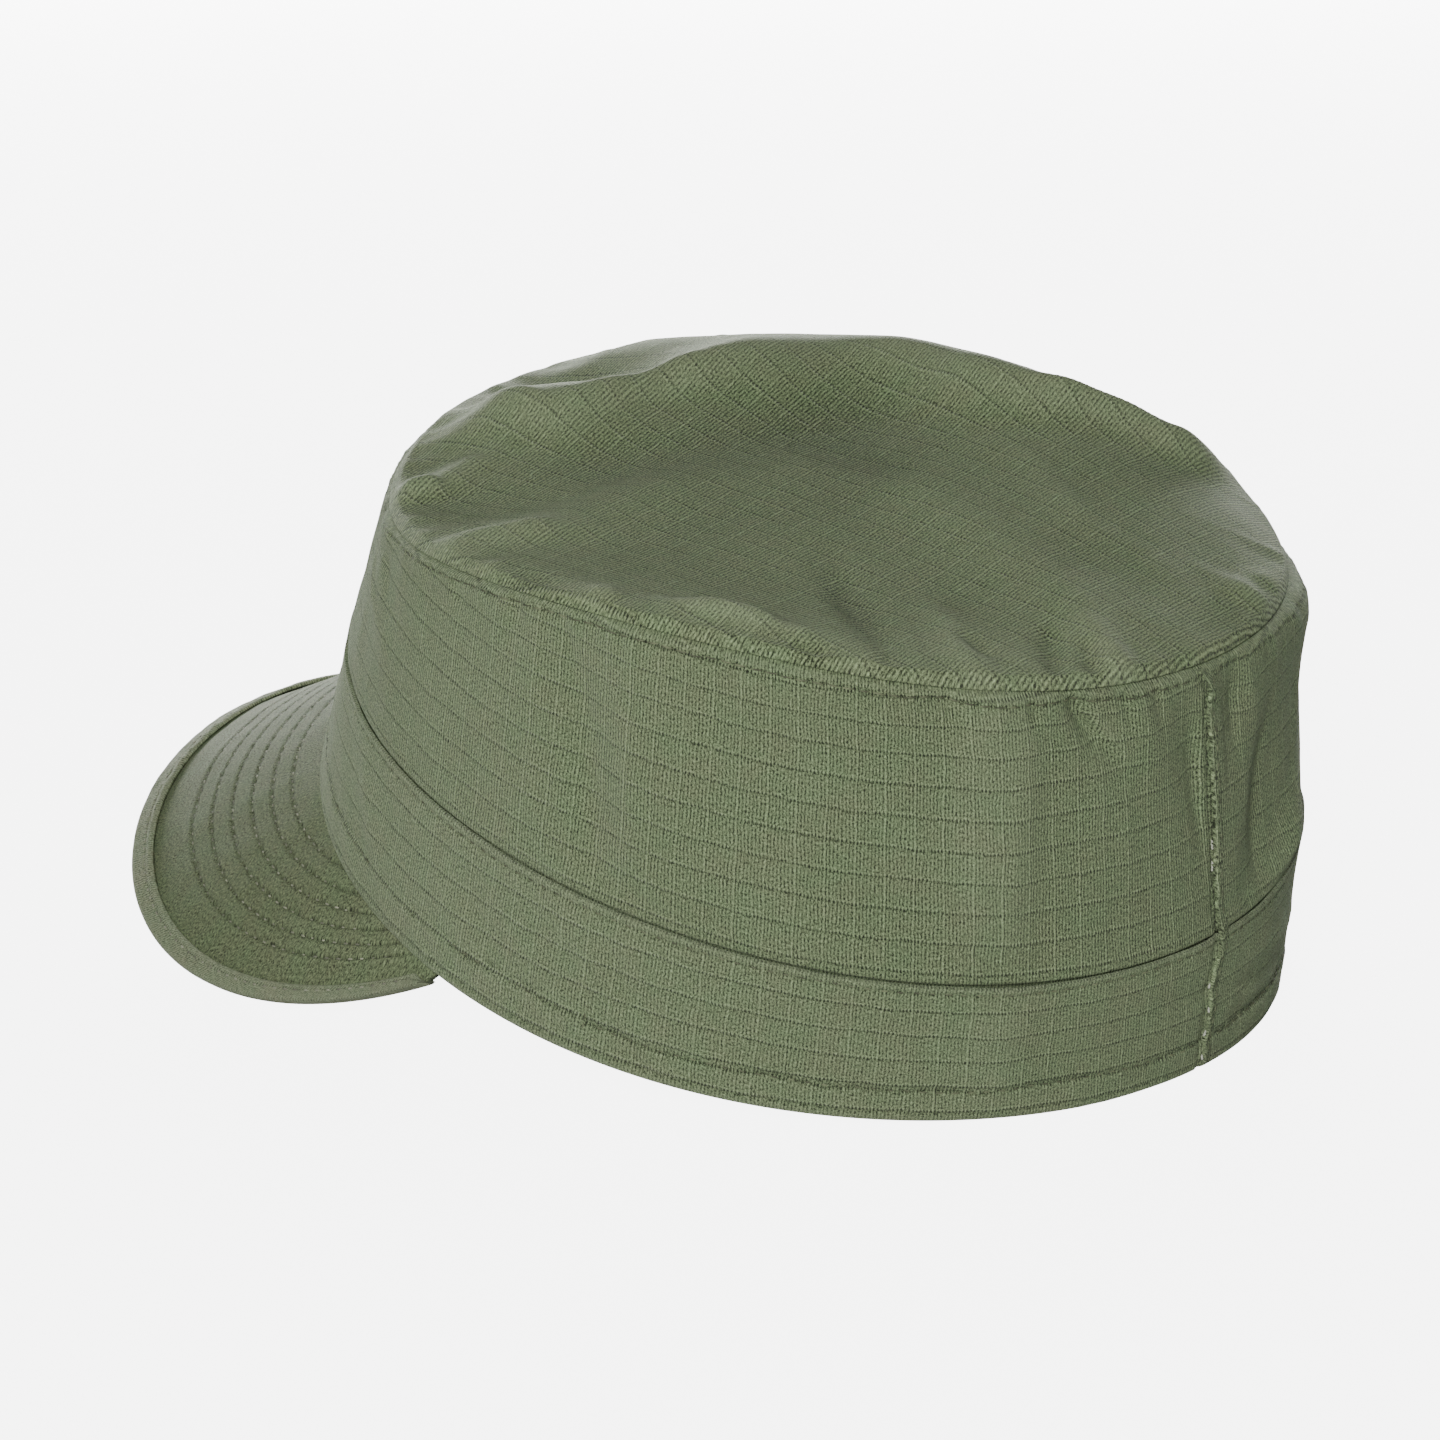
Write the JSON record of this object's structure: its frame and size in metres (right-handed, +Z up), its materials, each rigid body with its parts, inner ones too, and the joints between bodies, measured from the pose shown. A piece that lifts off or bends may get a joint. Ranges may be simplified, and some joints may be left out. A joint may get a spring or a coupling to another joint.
{
  "type": "army field cap",
  "caption": "Soft ripstop cloth cap with an oval top panel, tall side wall, lower band, raised back seam and a curved stitched peak.",
  "frame": {"origin": "centre of the cap's box, on the floor that it rests on", "axes": "+Z up, the peak towards -Y, the back seam at +Y and the wearer's left at +X"},
  "size_m": [0.1906, 0.2513, 0.1185],
  "materials": {
    "crown_cloth": "matt olive ripstop cotton",
    "band_cloth": "matt olive ripstop cotton, doubled and hemmed",
    "peak_cloth": "matt olive ripstop cotton over a firm core",
    "binding_cloth": "matt olive plain-weave cotton strip"
  },
  "bodies": {
    "root": {"crown_top": "crown_cloth", "crown_side": "crown_cloth", "band": "band_cloth", "back_seam": "band_cloth", "peak": "peak_cloth", "peak_binding": "binding_cloth"}
  },
  "joints": []
}
